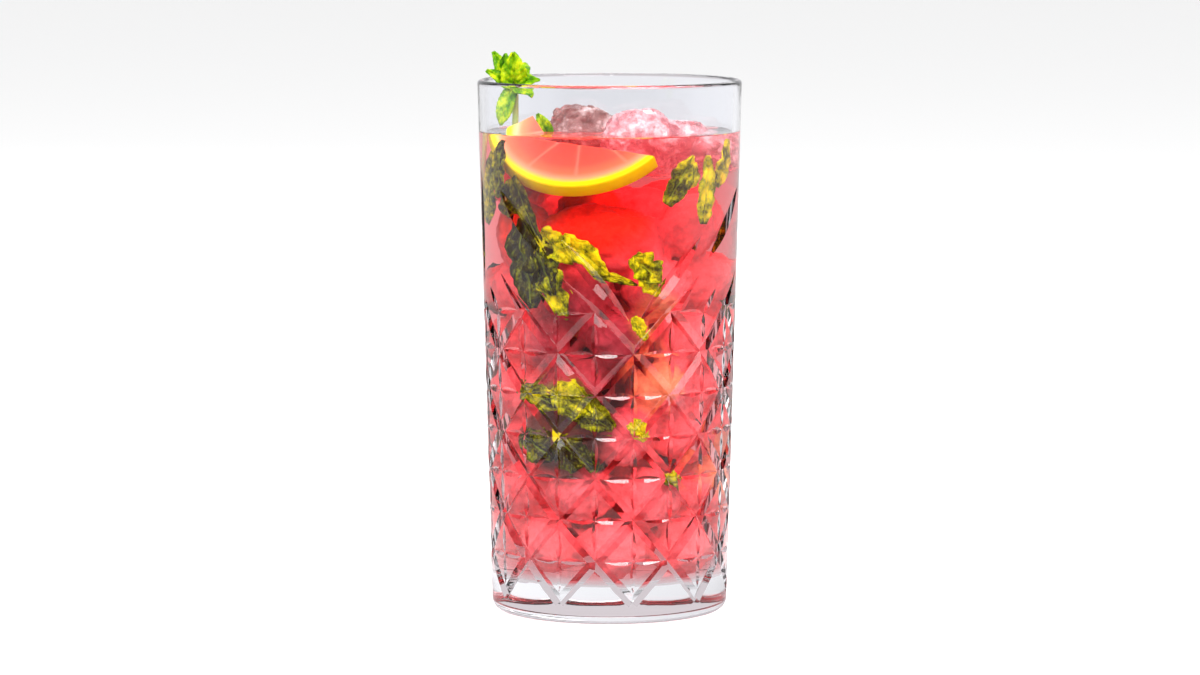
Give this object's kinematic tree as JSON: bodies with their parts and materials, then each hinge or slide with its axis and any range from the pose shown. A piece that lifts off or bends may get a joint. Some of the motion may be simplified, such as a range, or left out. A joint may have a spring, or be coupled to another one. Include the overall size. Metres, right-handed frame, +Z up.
{
  "type": "glass of mojito",
  "caption": "Tall cut-pattern tumbler filled with a red iced mojito, with broken ice, part of a slice of lemon and a sprig of mint over the rim.",
  "frame": {"origin": "centre of the flat base that the glass stands on", "axes": "+Z up along the glass's axis, -Y towards the front as pictured, +X to its right"},
  "size_m": [0.0744, 0.0744, 0.1579],
  "materials": {
    "clear_glass": "clear pressed glass, smooth, with sharp cut facets",
    "red_drink": "cloudy coral red liquid",
    "ice": "wet broken ice, tinted pink",
    "lemon": "wet lemon rind, pith and flesh",
    "mint": "fresh crinkled mint leaf"
  },
  "bodies": {
    "root": {"glass": "clear_glass", "drink": "red_drink", "ice_left": "ice", "ice_right": "ice", "ice_low": "ice", "ice_back": "ice", "lemon_slice": "lemon", "mint_sprig": "mint", "mint_leaf": "mint"}
  },
  "joints": []
}
